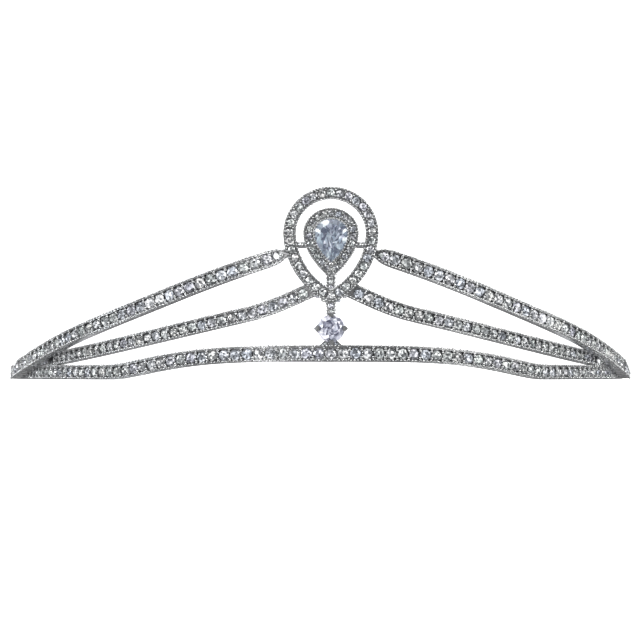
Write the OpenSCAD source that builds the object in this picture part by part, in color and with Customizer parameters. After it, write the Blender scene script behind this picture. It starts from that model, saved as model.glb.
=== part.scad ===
// Diadem: three stone-set bands on each side of a drop-shaped ornament.
// X runs across, the front faces -Y, and Z is up from the surface it rests on.
// All soldered metal is one node, frame. Each field of small stones is a node of loose stones.

/* [Arc of the bands] */
// Width across the ends of the lower band
span_w = 135; // [124:1:146]
// Depth from the front of the bands to the ends of the lower band
arc_depth = 84; // [78:1:90]
// Squareness of the plan curve, 2 is an ellipse
plan_power = 2.4; // [2.2:0.1:2.6]
// Rise of the lower edge at the front
arch_rise = 3.6; // [2.4:0.1:4.2]
// Distance from the middle at which the lower edge reaches the surface
arch_reach = 44.6; // [42:0.2:46]

/* [Bands] */
// Width of the lower band at the front
lower_w = 3.4; // [3.1:0.1:3.7]
// Width of the middle bands beside the ornament
middle_w = 3.1; // [2.8:0.1:3.4]
// Width of the upper bands beside the ornament
upper_w = 3.5; // [3.2:0.1:3.8]
// Share of its width that a band keeps at its end
end_share = 0.82; // [0.76:0.02:0.9]
// Share of a band's width in each of its two rails
rail_share = 0.14; // [0.12:0.01:0.16]
// Thickness of a band from back to front
band_t = 1.9; // [1.8:0.05:2.2]
// Metal behind the stones
floor_t = 0.6; // [0.45:0.05:0.7]
// Height of the upper bands' lower edge, run on to the middle of the front
upper_start_z = 25.8; // [25:0.1:26.6]
// Height of the middle bands' lower edge, run on to the middle of the front
middle_start_z = 14.9; // [14.4:0.1:15.4]
// Plain length at each end of the lower band
plain_l = 6; // [5:0.5:8]
// Plain pointed length at the ends of the middle and upper bands
point_l = 7; // [5:0.5:9]

/* [Ring] */
// Height of the widest place of the ring
ring_z = 29.4; // [29:0.1:30.5]
// Half width of the ring's middle line
ring_r = 8.3; // [8:0.1:8.8]
// Height of the ring's middle line above its widest place
ring_up = 8.1; // [7.8:0.1:8.6]
// Depth of the ring's middle line below its widest place
ring_down = 12.6; // [12.3:0.1:13]
// Width of the ring
ring_w = 2.5; // [2.3:0.1:2.7]
// Thickness of the ring
ring_t = 2.2; // [2:0.1:2.5]

/* [Pear cluster] */
// Half width of the middle line of the cluster's row
halo_r = 4.45; // [4.3:0.05:4.7]
// Height of that line above its widest place
halo_up = 3.95; // [3.8:0.05:4.2]
// Depth of that line below its widest place
halo_down = 8.05; // [7.8:0.05:8.3]
// Width of the row
halo_w = 2.1; // [1.9:0.05:2.2]
// Thickness of the cluster
halo_t = 2.6; // [2.3:0.1:2.9]
// Depth of the pear stone below its girdle
pear_pavilion = 2.6; // [2.3:0.1:2.8]
// Height of the pear stone above its girdle
pear_crown = 0.9; // [0.7:0.1:1.1]

/* [Round stone] */
// Height of the middle of the round stone
round_z = 10.3; // [10.2:0.05:10.5]
// Radius of the round stone
round_r = 2.75; // [2.6:0.05:2.85]
// Half diagonal of the square setting under the round stone
setting_r = 3.45; // [3.4:0.05:3.6]
// Depth of the round stone below its girdle
round_pavilion = 2.3; // [2.1:0.1:2.5]
// Height of the round stone above its girdle
round_crown = 0.85; // [0.7:0.05:1]
// Width of a claw
claw_w = 0.95; // [0.7:0.05:1.1]
// Width of the stem above the setting
stem_w = 1.5; // [1.3:0.1:1.8]

/* [Small stones] */
// Gap between a stone and the metal around it
stone_gap = 0.1; // [0.08:0.01:0.12]
// Gap between two stones of a row
row_gap = 0.2; // [0.15:0.01:0.3]

/* [Hidden] */

// Eyelets at the ends of the lower band
eye_r = 1.25;
eye_hole_r = 0.55;
eye_t = 1;
eye_reach = 1.9;

// Depths are counted from the back of the ornament towards the front
pear_seat = halo_t + 0.3;
round_seat = round_pavilion + stone_gap;
half_w = span_w / 2;
front_reach = pear_seat + pear_crown - band_t;
front_y = -(arc_depth + eye_reach - front_reach) / 2;
back_y = front_y + band_t;
tip_y = front_y + arc_depth;

// Soldered parts reach this far into each other, or over this share of a rail
weld = 0.3;
weld_share = 0.6;

function mix(a, b, s) = a + (b - a) * s;
function clamped(s) = min(1, max(0, s));
function ease(s) = let (c = clamped(s)) c * c * (3 - 2 * c);
function last(v) = v[len(v) - 1];

// Plan curve of the outer faces: angle 0 is the middle of the front, 90 the end
function plan_x(a) = sign(a) * half_w * pow(abs(sin(a)), 2 / plan_power);
function plan_y(a) = tip_y - arc_depth * pow(max(0, cos(a)), 2 / plan_power);
function plan_angle(x) = asin(pow(x / half_w, plan_power / 2));
function plan_out(a) =
    let (gx = sign(a) * pow(abs(plan_x(a)) / half_w, plan_power - 1) / half_w,
         gy = -pow((tip_y - plan_y(a)) / arc_depth, plan_power - 1) / arc_depth)
    [gx, gy, 0] / norm([gx, gy]);

// The lower band rises at the front and lies on the surface behind
settle_a = 60;
arch_power = 4;
arch_fall = 1.6;
function lower_width(a) = lower_w * mix(1, end_share, clamped(abs(a) / settle_a));
function lower_edge(a) =
    let (s = min(1, abs(plan_x(a)) / arch_reach))
    arch_rise * pow(1 - pow(s, arch_power), arch_fall);
function lower_point(a) =
    [plan_x(a), plan_y(a), lower_edge(a) + lower_width(a) / 2];

// The middle band ends on top of the lower one, and lifts a little towards the ring
middle_end_a = 62;
middle_power = 1.6;
middle_tip_w = 1;
middle_bite = 0.25;
lift_h = 3.2;
lift_a = 11;
function middle_width(a) = middle_w * mix(1, end_share, clamped(a / middle_end_a));
function middle_edge(a) =
    lift_h * pow(max(0, 1 - a / lift_a), 2)
    + mix(lower_w * end_share - middle_bite, middle_start_z,
          pow(max(0, 1 - a / middle_end_a), middle_power));
function middle_point(a) = [plan_x(a), plan_y(a), middle_edge(a) + middle_width(a) / 2];

// The upper band is narrow at the ring, steps outwards, and passes outside the lower one
upper_end_a = 70;
upper_power = 1.2;
upper_tip_w = 0.9;
upper_edge_z = 0.15;
root_share = 0.45;
root_a = plan_angle(ring_r + ring_w / 2);
root_over = 2.7;
step_a = 24;
step_over = 24;
step_gap = 0.45;
step_out = band_t + step_gap;
function upper_full(a) = upper_w * mix(1, end_share, clamped(a / settle_a));
function upper_width(a) =
    let (s = 1 - clamped((a - root_a) / root_over))
    upper_full(a) * mix(root_share, 1, sqrt(1 - s * s));
function upper_point(a) =
    let (s = pow(max(0, 1 - a / upper_end_a), upper_power))
    [plan_x(a), plan_y(a), mix(upper_edge_z, upper_start_z, s) + upper_full(a) / 2]
    + plan_out(a) * step_out * ease((a - step_a) / step_over);

function band_point(kind, a) =
    kind == "lower" ? lower_point(a) : kind == "middle" ? middle_point(a) : upper_point(a);
function band_width(kind, a) =
    kind == "lower" ? lower_width(a) : kind == "middle" ? middle_width(a) : upper_width(a);

// Running length along a band, as pairs of length and angle
function lengths(pts, i = 0, l = 0) =
    i >= len(pts) ? [] :
    let (now = i == 0 ? 0 : l + norm(pts[i] - pts[i - 1]))
    concat([now], lengths(pts, i + 1, now));
function measured(kind, a0, a1, n) =
    let (pts = [for (i = [0:n]) band_point(kind, mix(a0, a1, i / n))],
         run = lengths(pts))
    [for (i = [0:n]) [run[i], mix(a0, a1, i / n)]];

// A station holds a point on the outer face, then the outward, upward and forward directions
function station(kind, a) =
    let (d = 0.2,
         q = band_point(kind, min(a + d, 90)) - band_point(kind, max(a - d, -90)),
         along = q / norm(q),
         o = plan_out(a) - along * (plan_out(a) * along),
         out = o / norm(o))
    [band_point(kind, a), out, cross(out, along), along];

// U-shaped section of two rails and a floor, as pairs of across and depth
function channel(w, rail, bed, t) =
    [[-w / 2, 0], [-w / 2, t], [-w / 2 + rail, t], [-w / 2 + rail, bed],
     [w / 2 - rail, bed], [w / 2 - rail, t], [w / 2, t], [w / 2, 0]];
function placed(st, section, t) =
    [for (q = section) st[0] + st[1] * (q[1] - t) - st[2] * q[0]];

// Skin over a row of sections that all have the same number of points
module skin(sections, closed = false) {
    m = len(sections[0]);
    n = len(sections);
    points = [for (s = sections) each s];
    sides = [for (i = [0:(closed ? n - 1 : n - 2)]) for (j = [0:m - 1])
             let (k = (i + 1) % n, l = (j + 1) % m)
             each [[i * m + j, k * m + j, k * m + l], [i * m + j, k * m + l, i * m + l]]];
    caps = closed ? [] :
        [[for (j = [0:m - 1]) j], [for (j = [m - 1:-1:0]) (n - 1) * m + j]];
    polyhedron(points = points, faces = concat(sides, caps), convexity = 10);
}

// A band through stations at the given lengths, plain outside plain0 and plain1.
// Its end narrows to tip_w while its lower edge runs straight on.
step_l = 3;
plain_recess = 0.05;
function stops(l0, l1, step = step_l) =
    let (n = ceil((l1 - l0) / step)) [for (i = [0:n]) mix(l0, l1, i / n)];
function length_at(span, a) = lookup(a, [for (q = span) [q[1], q[0]]]);
module band(kind, span, rows, plain0, plain1, tip_w = 0) {
    end_l = last(rows);
    skin([for (l = rows)
        let (a = lookup(l, span),
             st = station(kind, a),
             full = band_width(kind, a),
             w = tip_w > 0 && l > plain1
                 ? mix(full, tip_w, (l - plain1) / (end_l - plain1)) : full,
             low = [st[0] - st[2] * (full - w) / 2, st[1], st[2]],
             bed = l <= plain0 || l >= plain1 ? band_t - plain_recess : floor_t)
        placed(low, channel(w, w * rail_share, bed, band_t), band_t)]);
}

lower_span = measured("lower", -90, 90, 240);
lower_l = last(lower_span)[0];
edge_l = 0.3;
module lower_band() {
    l1 = lower_l - plain_l;
    band("lower", lower_span,
         concat(stops(0, plain_l), stops(plain_l + edge_l, l1 - edge_l), stops(l1, lower_l)),
         plain_l, l1);
}

// The middle and upper bands start inside the ring's outer rail, where the ring cuts them
start_x = 1.5;
middle_start_a = plan_angle(start_x);
middle_span = measured("middle", middle_start_a, middle_end_a, 120);
middle_l = last(middle_span)[0];
module middle_band() {
    l1 = middle_l - point_l;
    band("middle", middle_span, concat(stops(0, l1 - edge_l), stops(l1, middle_l)),
         -1, l1, middle_tip_w);
}

upper_start_a = plan_angle(ring_r - start_x);
upper_span = measured("upper", upper_start_a, upper_end_a, 150);
upper_l = last(upper_span)[0];
root_l = 6;
root_step = 0.6;
module upper_band() {
    l1 = upper_l - point_l;
    band("upper", upper_span,
         concat(stops(0, root_l, root_step), stops(root_l + root_step, l1 - edge_l),
                stops(l1, upper_l)),
         -1, l1, upper_tip_w);
}

// Solder posts hold the upper band off the rail of the lower one
post_w = 1.2;
post_h = lower_w * end_share * rail_share;
post_share = 0.8;
post_angles = [63, 67];
module solder_posts() {
    r = post_h * post_share / 2;
    for (a = post_angles) {
        st = station("lower", a);
        middle = st[0] + st[2] * (lower_width(a) - post_h) / 2;
        hull()
            for (depth = [-weld, step_gap + weld], s = [-1, 1])
                translate(middle + st[1] * depth + st[3] * s * (post_w / 2 - r))
                    sphere(r = r, $fn = 8);
    }
}

// Eyelet at the end of the lower band
module eyelet() {
    translate([half_w - band_t / 2, tip_y + eye_reach - eye_r, lower_width(90) / 2])
        rotate([0, 90, 0])
            difference() {
                cylinder(r = eye_r, h = eye_t, center = true, $fn = 24);
                cylinder(r = eye_hole_r, h = 2 * eye_t, center = true, $fn = 24);
            }
}

// Drop outline: a round top and a lower half that draws in to a point.
// Its direction and the shifts from it point inwards.
ring_point = 1.52;
halo_point = 2.4;
function drop(r, up, down, point, a) =
    [r * sign(sin(a)) * pow(abs(sin(a)), cos(a) < 0 ? point : 1),
     cos(a) * (cos(a) < 0 ? down : up)];
function drop_in(r, up, down, point, a) =
    let (q = drop(r, up, down, point, a - 1) - drop(r, up, down, point, a + 1))
    [-q[1], q[0]] / norm(q);
function drop_half(r, down, point, z) =
    let (c = clamped(-z / down)) r * pow(sqrt(1 - c * c), point);
function ring_at(a, shift) =
    drop(ring_r, ring_up, ring_down, ring_point, a)
    + drop_in(ring_r, ring_up, ring_down, ring_point, a) * shift;
function halo_at(a, shift) =
    drop(halo_r, halo_up, halo_down, halo_point, a)
    + drop_in(halo_r, halo_up, halo_down, halo_point, a) * shift;

// Angles around a drop, with the sharp foot left as one corner
function drop_angles(step, foot) =
    concat([for (a = [0:step:180 - foot]) a], [180], [for (a = [180 + foot:step:359]) a]);
ring_angles = drop_angles(9, 18);
halo_angles = drop_angles(9, 36);
function on_face(p, depth) = [p[0], back_y - depth, ring_z + p[1]];

module ring() {
    rail = ring_w * rail_share;
    skin([for (a = ring_angles)
        [for (q = channel(ring_w, rail, floor_t, ring_t)) on_face(ring_at(a, q[0]), q[1])]],
        closed = true);
}

module halo() {
    rail = halo_w * rail_share;
    skin([for (a = halo_angles)
        [for (q = channel(halo_w, rail, halo_t - band_t + floor_t, halo_t))
            on_face(halo_at(a, q[0]), q[1])]],
        closed = true);
}

// Upright slab of an outline drawn in X and Z, between two depths
module slab(depth0, depth1) {
    translate([0, back_y - depth0, 0])
        rotate([90, 0, 0])
            linear_extrude(height = depth1 - depth0) children();
}

// Everything inside the ring's outer rail, taken out of what meets the ring from outside
module ring_room() {
    slab(-1, ring_t + 1)
        translate([0, ring_z])
            polygon([for (a = ring_angles) ring_at(a, -ring_w * (0.5 - rail_share * weld_share))]);
}

// Flat strut of the given length, w0 wide where it starts and w1 wide where it ends
strut_end = 0.2;
module strut(l, w0, w1) {
    hull() {
        translate([-w0 / 2, 0]) square([w0, strut_end]);
        translate([-w1 / 2, l - strut_end]) square([w1, strut_end]);
    }
}

// Bars from the cluster to the ring, and the neck under the cluster
bar_w = 1.2;
bar_t = 1.5;
bar_drop = -2.4;
neck_w = 1.6;
module cluster_bars() {
    x0 = drop_half(halo_r, halo_down, halo_point, bar_drop) + halo_w / 2;
    x1 = drop_half(ring_r, ring_down, ring_point, bar_drop) - ring_w / 2;
    foot = ring_z + ring_at(180, ring_w / 2)[1];
    slab(band_t - bar_t - weld / 2, band_t - weld / 2) {
        for (s = [-1, 1])
            translate([s * (x0 - weld), ring_z + bar_drop])
                rotate(-90 * s) strut(x1 - x0 + 2 * weld, bar_w, bar_w);
        translate([0, foot - weld]) strut(ring_z - halo_down - foot, neck_w, neck_w);
    }
}

// Stem from the foot of the ring to the round setting, flared where it meets the ring
flare_r = 2.3;
flare_drop = 0.15;
module stem() {
    top = ring_z - ring_down - flare_drop;
    low = round_z + round_r + 2 * claw_gap;
    flare = [for (a = [0:15:90]) [stem_w / 2, top] + flare_r * [1 - sin(a), cos(a) - 1]];
    side = concat([flare[0] + [0, ring_w / 2]], flare, [[stem_w / 2, low]]);
    slab(0, band_t)
        polygon(concat(side, [for (i = [len(side) - 1:-1:0]) [-side[i][0], side[i][1]]]));
}

// Square setting on its corner with four claws, standing on a splayed foot
claw_gap = 0.08;
claw_lean = 0.4;
claw_grip = 0.6;
setting_t = 1;
seat_share = 0.55;
foot_w = 4.6;
foot_top_w = 2.6;
foot_t = band_t - weld;
module setting_square(depth0, depth1) {
    slab(depth0, depth1) translate([0, round_z]) circle(r = setting_r, $fn = 4);
}
module round_setting() {
    tip = round_seat + round_crown;
    inner = round_r + claw_gap;
    hook = round_r - claw_lean;
    foot_top = round_z - setting_r + setting_t;
    foot_low = arch_rise + lower_w * (1 - rail_share * weld_share);
    difference() {
        setting_square(0, setting_t);
        slab(-1, setting_t + 1)
            translate([0, round_z]) circle(r = round_r * seat_share, $fn = 32);
    }
    intersection() {
        setting_square(0, tip);
        for (q = [0:3])
            translate([0, back_y, round_z]) rotate([0, 90 * q, 0]) rotate([90, 0, 90])
                linear_extrude(height = claw_w, center = true)
                    polygon([[0, inner], [0, setting_r], [-tip + claw_lean, setting_r],
                             [-tip, setting_r - claw_lean], [-tip, hook],
                             [claw_gap - round_seat - round_crown * claw_grip, hook],
                             [-round_seat - claw_gap, inner]]);
    }
    slab(0, foot_t)
        translate([0, foot_low]) strut(foot_top - foot_low, foot_w, foot_top_w);
}

module frame() {
    color("silver") {
        difference() {
            union() {
                lower_band();
                for (s = [0, 1]) mirror([s, 0, 0]) {
                    middle_band();
                    upper_band();
                    solder_posts();
                    eyelet();
                }
                stem();
                round_setting();
            }
            ring_room();
        }
        ring();
        halo();
        cluster_bars();
    }
}

// Small stone: an octagonal table, eight crown facets and eight pavilion facets
crown_share = 0.15;
pavilion_share = 0.43;
table_share = 0.58;
module melee(p, out, up, side, d) {
    function rim(r, h) =
        [for (i = [0:7]) p + out * h + (up * cos(45 * i) - side * sin(45 * i)) * r];
    points = concat(rim(d * table_share / 2, d * crown_share), rim(d / 2, 0),
                    [p - out * d * pavilion_share]);
    table = [[for (i = [7:-1:0]) i]];
    crown = [for (i = [0:7]) [i, (i + 1) % 8, 8 + (i + 1) % 8, 8 + i]];
    pavilion = [for (i = [0:7]) [8 + i, 8 + (i + 1) % 8, 16]];
    polyhedron(points = points, faces = concat(table, crown, pavilion), convexity = 2);
}

function stone_d(kind, a) = band_width(kind, a) * (1 - 2 * rail_share) - 2 * stone_gap;
function stone_run(kind, span, l, end) =
    let (d = stone_d(kind, lookup(l, span)))
    l > end ? [] : concat([l], stone_run(kind, span, l + d + row_gap, end));
module band_stone(kind, span, l) {
    a = lookup(l, span);
    st = station(kind, a);
    d = stone_d(kind, a);
    girdle = floor_t + stone_gap + d * pavilion_share;
    melee(st[0] + st[1] * (girdle - band_t), st[1], st[2], st[3], d);
}

// Room from the last stone to a plain end, and from the ring to the first stones
end_room = 1.5;
upper_first_x = ring_r + ring_w / 2 + 1.35;
middle_first_x = ring_r * 0.675;

module lower_stones() {
    middle = lower_l / 2;
    half = stone_run("lower", lower_span, middle, lower_l - plain_l - end_room);
    color("aliceblue") {
        for (l = half) band_stone("lower", lower_span, l);
        for (i = [1:len(half) - 1]) band_stone("lower", lower_span, 2 * middle - half[i]);
    }
}

module middle_stones() {
    start = length_at(middle_span, plan_angle(middle_first_x));
    color("aliceblue")
        for (l = stone_run("middle", middle_span, start, middle_l - point_l - end_room))
            band_stone("middle", middle_span, l);
}

module upper_stones() {
    start = length_at(upper_span, plan_angle(upper_first_x));
    color("aliceblue")
        for (l = stone_run("upper", upper_span, start, upper_l - point_l - end_room))
            band_stone("upper", upper_span, l);
}

module middle_stones_right() { middle_stones(); }
module middle_stones_left() { mirror([1, 0, 0]) middle_stones(); }
module upper_stones_right() { upper_stones(); }
module upper_stones_left() { mirror([1, 0, 0]) upper_stones(); }

// Brilliant cut over sixteen girdle points: table, stars, kites, girdle and pavilion facets.
// The points run in rings from the table to the culet.
girdle_t = 0.12;
star_share = 0.8;
star_rise = 0.58;
waist_share = 0.3;
waist_drop = 0.72;
module brilliant(girdle, centre, seat, crown, pavilion) {
    function at(q, s, depth) = on_face(centre + (q - centre) * s, depth);
    table = [for (i = [0:7]) at(girdle[2 * i], table_share, seat + crown)];
    star = [for (i = [0:7]) at(girdle[2 * i + 1], star_share, seat + crown * star_rise)];
    top = [for (q = girdle) at(q, 1, seat)];
    low = [for (q = girdle) at(q, 1, seat - girdle_t)];
    waist = [for (i = [0:7]) at(girdle[2 * i + 1], waist_share, seat - pavilion * waist_drop)];
    points = concat(table, star, top, low, waist, [on_face(centre, seat - pavilion)]);
    s0 = len(table);
    g0 = s0 + len(star);
    l0 = g0 + len(top);
    w0 = l0 + len(low);
    culet = w0 + len(waist);
    sides = [for (i = [0:7])
        let (j = (i + 1) % 8, g = 2 * i, h = (g + 2) % 16, s = s0 + i, w = w0 + i)
        each [[i, j, s], [i, s, g0 + g], [j, g0 + h, s],
              [s, g0 + g + 1, g0 + g], [s, g0 + h, g0 + g + 1],
              [w, l0 + g, l0 + g + 1], [w, l0 + g + 1, l0 + h],
              [culet, l0 + g, w], [culet, w, l0 + h]]];
    belt = [for (i = [0:15])
        let (j = (i + 1) % 16)
        each [[g0 + i, g0 + j, l0 + j], [g0 + i, l0 + j, l0 + i]]];
    polyhedron(points = points, faces = concat([[for (i = [7:-1:0]) i]], sides, belt),
               convexity = 2);
}

// The pear fills the cluster's opening
pear_up = halo_up - halo_w / 2 - stone_gap;
pear_r = halo_r - halo_w / 2 - stone_gap;
pear_down = halo_down - halo_w - stone_gap;
pear_point = 1.9;
pear_angles = [0, 22.5, 45, 67.5, 90, 108, 126, 146];
pear_centre = [0, -pear_up / 5];
module pear_stone() {
    half = [for (a = pear_angles) drop(-pear_r, pear_up, pear_down, pear_point, a)];
    girdle = concat(half, [[0, -pear_down]], [for (i = [7:-1:1]) [-half[i][0], half[i][1]]]);
    color("lightsteelblue")
        brilliant(girdle, pear_centre, pear_seat, pear_crown, pear_pavilion);
}

module round_stone() {
    centre = [0, round_z - ring_z];
    girdle = [for (i = [0:15]) centre + round_r * [-sin(22.5 * i), cos(22.5 * i)]];
    color("lavender")
        brilliant(girdle, centre, round_seat, round_crown, round_pavilion);
}

frame();
lower_stones();
middle_stones_left();
middle_stones_right();
upper_stones_left();
upper_stones_right();
pear_stone();
round_stone();
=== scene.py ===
# %% [markdown]
# # A stone-set diadem
#
# Three bands of small stones run on each side from a drop-shaped ornament down to the
# ends over the ears. The metal and the seats of the stones come from the CAD model.
# This lesson dresses them: full-cut stones, claws, bead edges, metal and glass.

# %% Load the fixed frame
import math
import random

import bpy
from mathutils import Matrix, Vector


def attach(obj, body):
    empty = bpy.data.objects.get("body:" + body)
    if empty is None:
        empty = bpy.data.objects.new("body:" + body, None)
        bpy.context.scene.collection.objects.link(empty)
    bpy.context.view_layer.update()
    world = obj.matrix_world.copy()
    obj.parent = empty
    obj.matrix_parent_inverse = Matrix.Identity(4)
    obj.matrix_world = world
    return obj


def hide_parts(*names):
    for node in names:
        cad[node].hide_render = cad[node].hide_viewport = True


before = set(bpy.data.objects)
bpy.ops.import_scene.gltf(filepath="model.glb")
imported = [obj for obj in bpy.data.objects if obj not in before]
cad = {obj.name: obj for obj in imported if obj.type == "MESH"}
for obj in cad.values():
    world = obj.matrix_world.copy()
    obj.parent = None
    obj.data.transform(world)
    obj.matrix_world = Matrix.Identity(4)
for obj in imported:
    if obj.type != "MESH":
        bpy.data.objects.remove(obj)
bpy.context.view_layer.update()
MM = 0.001
print("CAD nodes:", sorted(cad))

# %% [markdown]
# ## The sizes that the goldsmith works to
#
# The real diadem is bent from one drawing, so every stone and bead follows the same few
# curves. The alternative is to read them from the mesh, which would tie each bead to a
# triangle. The curves are written out again here instead, in millimetres, as the CAD
# source has them, so that a seat can be asked for anywhere along a band.

# %% Sizes in millimetres, as in the CAD source
SPAN_W = 135.0
ARC_DEPTH = 84.0
PLAN_POWER = 2.4
ARCH_RISE = 3.6
ARCH_REACH = 44.6
ARCH_POWER, ARCH_FALL = 4, 1.6
LOWER_W = 3.4
MIDDLE_W = 3.1
UPPER_W = 3.5
END_SHARE = 0.82
RAIL_SHARE = 0.14
BAND_T = 1.9
FLOOR_T = 0.6
UPPER_START_Z = 25.8
MIDDLE_START_Z = 14.9
PLAIN_L = 6.0
POINT_L = 7.0
RING_Z = 29.4
RING_R, RING_UP, RING_DOWN = 8.3, 8.1, 12.6
RING_W, RING_T = 2.5, 2.2
HALO_R, HALO_UP, HALO_DOWN = 4.45, 3.95, 8.05
HALO_W, HALO_T = 2.1, 2.6
RING_POINT, HALO_POINT = 1.52, 2.4
PEAR_PAVILION, PEAR_CROWN = 2.6, 0.9
ROUND_Z, ROUND_R = 10.3, 2.75
BAR_DROP, BAR_X, FOOT_DEPTH = 2.4, 6.0, 1.6
ROUND_PAVILION, ROUND_CROWN = 2.3, 0.85
STONE_GAP, ROW_GAP = 0.1, 0.2
CROWN_SHARE, PAVILION_SHARE, TABLE_SHARE = 0.15, 0.43, 0.58
EYE_REACH = 1.9
TIP_W = {"middle": 1.0, "upper": 0.9}

HALF_W = SPAN_W / 2
PEAR_SEAT = HALO_T + 0.3
ROUND_SEAT = ROUND_PAVILION + STONE_GAP
FRONT_Y = -(ARC_DEPTH + EYE_REACH - (PEAR_SEAT + PEAR_CROWN - BAND_T)) / 2
BACK_Y = FRONT_Y + BAND_T
TIP_Y = FRONT_Y + ARC_DEPTH
print("front face at y", round(FRONT_Y, 2), "mm, ends at y", round(TIP_Y, 2), "mm")


# %% Curves of the bands
def mix(a, b, s):
    return a + (b - a) * s


def clamped(s):
    return min(1.0, max(0.0, s))


def ease(s):
    c = clamped(s)
    return c * c * (3 - 2 * c)


def plan_x(a):
    s = math.sin(math.radians(a))
    return math.copysign(HALF_W * abs(s) ** (2 / PLAN_POWER), s)


def plan_y(a):
    c = max(0.0, math.cos(math.radians(a)))
    return TIP_Y - ARC_DEPTH * c ** (2 / PLAN_POWER)


def plan_angle(x):
    return math.degrees(math.asin((x / HALF_W) ** (PLAN_POWER / 2)))


def plan_out(a):
    x, y = plan_x(a), plan_y(a)
    across = math.copysign((abs(x) / HALF_W) ** (PLAN_POWER - 1) / HALF_W, x)
    along = -((TIP_Y - y) / ARC_DEPTH) ** (PLAN_POWER - 1) / ARC_DEPTH
    return Vector((across, along, 0)).normalized()


def lower_width(a):
    return LOWER_W * mix(1, END_SHARE, clamped(abs(a) / 60))


def lower_point(a):
    s = min(1.0, abs(plan_x(a)) / ARCH_REACH)
    edge = ARCH_RISE * (1 - s**ARCH_POWER) ** ARCH_FALL
    return Vector((plan_x(a), plan_y(a), edge + lower_width(a) / 2))


def middle_width(a):
    return MIDDLE_W * mix(1, END_SHARE, clamped(a / 62))


def middle_point(a):
    lift = 3.2 * max(0.0, 1 - a / 11) ** 2
    fall = max(0.0, 1 - a / 62) ** 1.6
    edge = lift + mix(LOWER_W * END_SHARE - 0.25, MIDDLE_START_Z, fall)
    return Vector((plan_x(a), plan_y(a), edge + middle_width(a) / 2))


ROOT_A = plan_angle(RING_R + RING_W / 2)


def upper_full(a):
    return UPPER_W * mix(1, END_SHARE, clamped(a / 60))


def upper_width(a):
    s = 1 - clamped((a - ROOT_A) / 2.7)
    return upper_full(a) * mix(0.45, 1, math.sqrt(1 - s * s))


def upper_point(a):
    fall = max(0.0, 1 - a / 70) ** 1.2
    middle = mix(0.15, UPPER_START_Z, fall) + upper_full(a) / 2
    step = plan_out(a) * (BAND_T + 0.45) * ease((a - 24) / 24)
    return Vector((plan_x(a), plan_y(a), middle)) + step


POINT_OF = {"lower": lower_point, "middle": middle_point, "upper": upper_point}
WIDTH_OF = {"lower": lower_width, "middle": middle_width, "upper": upper_width}


def station(kind, a):
    """Point on the outer face, then the outward, upward and forward directions."""
    point = POINT_OF[kind]
    along = (point(min(a + 0.2, 90)) - point(max(a - 0.2, -90))).normalized()
    out = plan_out(a)
    out = (out - along * out.dot(along)).normalized()
    return point(a), out, out.cross(along), along


# %% Running length along a band
def measured(kind, a0, a1, steps):
    run, length, last = [], 0.0, None
    for i in range(steps + 1):
        a = mix(a0, a1, i / steps)
        now = POINT_OF[kind](a)
        length += (now - last).length if last else 0.0
        last = now
        run.append((length, a))
    return run


def angle_at(span, length):
    for (l0, a0), (l1, a1) in zip(span, span[1:]):
        if length <= l1:
            return mix(a0, a1, clamped((length - l0) / (l1 - l0)))
    return span[-1][1]


def length_at(span, angle):
    for (l0, a0), (l1, a1) in zip(span, span[1:]):
        if angle <= a1:
            return mix(l0, l1, clamped((angle - a0) / (a1 - a0)))
    return span[-1][0]


SPAN = {
    "lower": measured("lower", -90, 90, 240),
    "middle": measured("middle", plan_angle(1.5), 62, 120),
    "upper": measured("upper", plan_angle(RING_R - 1.5), 70, 150),
}
for kind, span in SPAN.items():
    print(kind, "band is", round(span[-1][0], 1), "mm long")

# %% [markdown]
# ## Seats of the small stones
#
# Each band holds one row of round stones, graded with the width of the band and almost
# touching. The seats are counted out along the band, each a stone and a gap further on,
# so they fall exactly where the CAD model has its plain stones. A left seat is the
# right one with its X turned round.


# %% Seats along the bands
def stone_d(kind, a):
    return WIDTH_OF[kind](a) * (1 - 2 * RAIL_SHARE) - 2 * STONE_GAP


def row(kind, start, end):
    """Lengths of the stones of a row, from start to end."""
    lengths = []
    while start <= end:
        lengths.append(start)
        start += stone_d(kind, angle_at(SPAN[kind], start)) + ROW_GAP
    return lengths


def seat(kind, length):
    a = angle_at(SPAN[kind], length)
    point, out, up, _ = station(kind, a)
    d = stone_d(kind, a)
    girdle = FLOOR_T + STONE_GAP + d * PAVILION_SHARE
    return {"at": point + out * (girdle - BAND_T), "out": out, "up": up, "size": d}


def other_side(items):
    turned = []
    for item in items:
        new = dict(item)
        for key in ("at", "out", "up"):
            new[key] = Vector((-item[key].x, item[key].y, item[key].z))
        turned.append(new)
    return turned


ROW = {}
half = row("lower", SPAN["lower"][-1][0] / 2, SPAN["lower"][-1][0] - PLAIN_L - 1.5)
ROW["lower"] = [SPAN["lower"][-1][0] - l for l in reversed(half[1:])] + half
first = length_at(SPAN["middle"], plan_angle(RING_R * 0.675))
ROW["middle"] = row("middle", first, SPAN["middle"][-1][0] - POINT_L - 1.5)
first = length_at(SPAN["upper"], plan_angle(RING_R + RING_W / 2 + 1.35))
ROW["upper"] = row("upper", first, SPAN["upper"][-1][0] - POINT_L - 1.5)
SEATS = {kind: [seat(kind, l) for l in lengths] for kind, lengths in ROW.items()}
print("stones in a row:", {kind: len(seats) for kind, seats in SEATS.items()})


# %% Seats around the ring and the pear's cluster
def drop(r, up, down, point, a):
    s, c = math.sin(math.radians(a)), math.cos(math.radians(a))
    x = r * math.copysign(abs(s) ** (point if c < 0 else 1), s)
    return Vector((x, 0, c * (down if c < 0 else up)))


def drop_at(shape, a, shift=0.0):
    """Point of a drop outline moved outwards by shift, with the outward direction."""
    q = drop(*shape, a - 1) - drop(*shape, a + 1)
    outward = Vector((q.z, 0, -q.x)).normalized()
    return drop(*shape, a) + outward * shift, outward


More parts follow.
